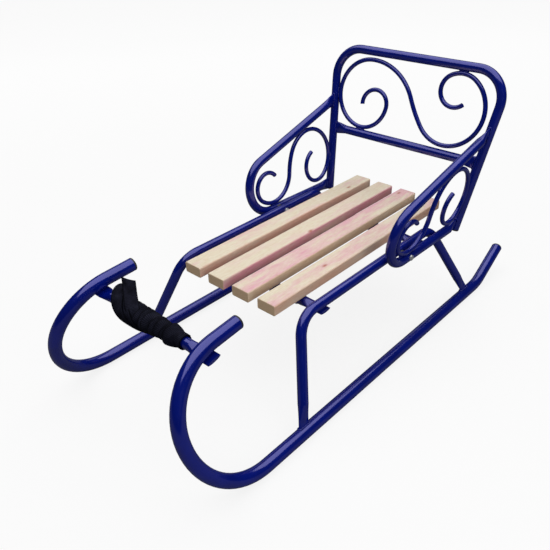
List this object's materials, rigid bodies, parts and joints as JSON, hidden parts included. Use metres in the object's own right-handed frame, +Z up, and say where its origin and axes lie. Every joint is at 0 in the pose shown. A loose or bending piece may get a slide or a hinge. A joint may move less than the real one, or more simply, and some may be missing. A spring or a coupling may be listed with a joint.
{
  "type": "snow sled",
  "caption": "Child's snow sled of bent steel tube with hooked runners, a slatted wooden seat, a scrollwork backrest and armrests, and a tow bar with a wound pull strap.",
  "frame": {"origin": "on the ground, under the middle of the sled's outer box", "axes": "+X forward towards the hooked ends of the runners, +Y to the rider's left, +Z up"},
  "size_m": [0.828, 0.375, 0.4212],
  "materials": {
    "tube_enamel": "gloss",
    "end_plug": "satin",
    "slat_wood": "clear lacquer",
    "spacer": "matte",
    "webbing": "woven"
  },
  "bodies": {
    "root": {"runner_left": "tube_enamel", "runner_right": "tube_enamel", "side_frame_left": "tube_enamel", "side_frame_right": "tube_enamel", "seat_bar_front": "tube_enamel", "seat_bar_rear": "tube_enamel", "tow_bar": "tube_enamel", "backrest_frame": "tube_enamel", "backrest_bar": "tube_enamel", "backrest_scroll": "tube_enamel", "armrest_left": "tube_enamel", "armrest_right": "tube_enamel", "armrest_scroll_left": "tube_enamel", "armrest_scroll_right": "tube_enamel", "runner_plug_front_left": "end_plug", "runner_plug_front_right": "end_plug", "runner_plug_rear_left": "end_plug", "runner_plug_rear_right": "end_plug", "backrest_plug_left": "end_plug", "backrest_plug_right": "end_plug", "slat_1": "slat_wood", "slat_2": "slat_wood", "slat_3": "slat_wood", "slat_4": "slat_wood", "armrest_spacer_left": "spacer", "armrest_spacer_right": "spacer", "tow_strap": "webbing"}
  },
  "joints": []
}
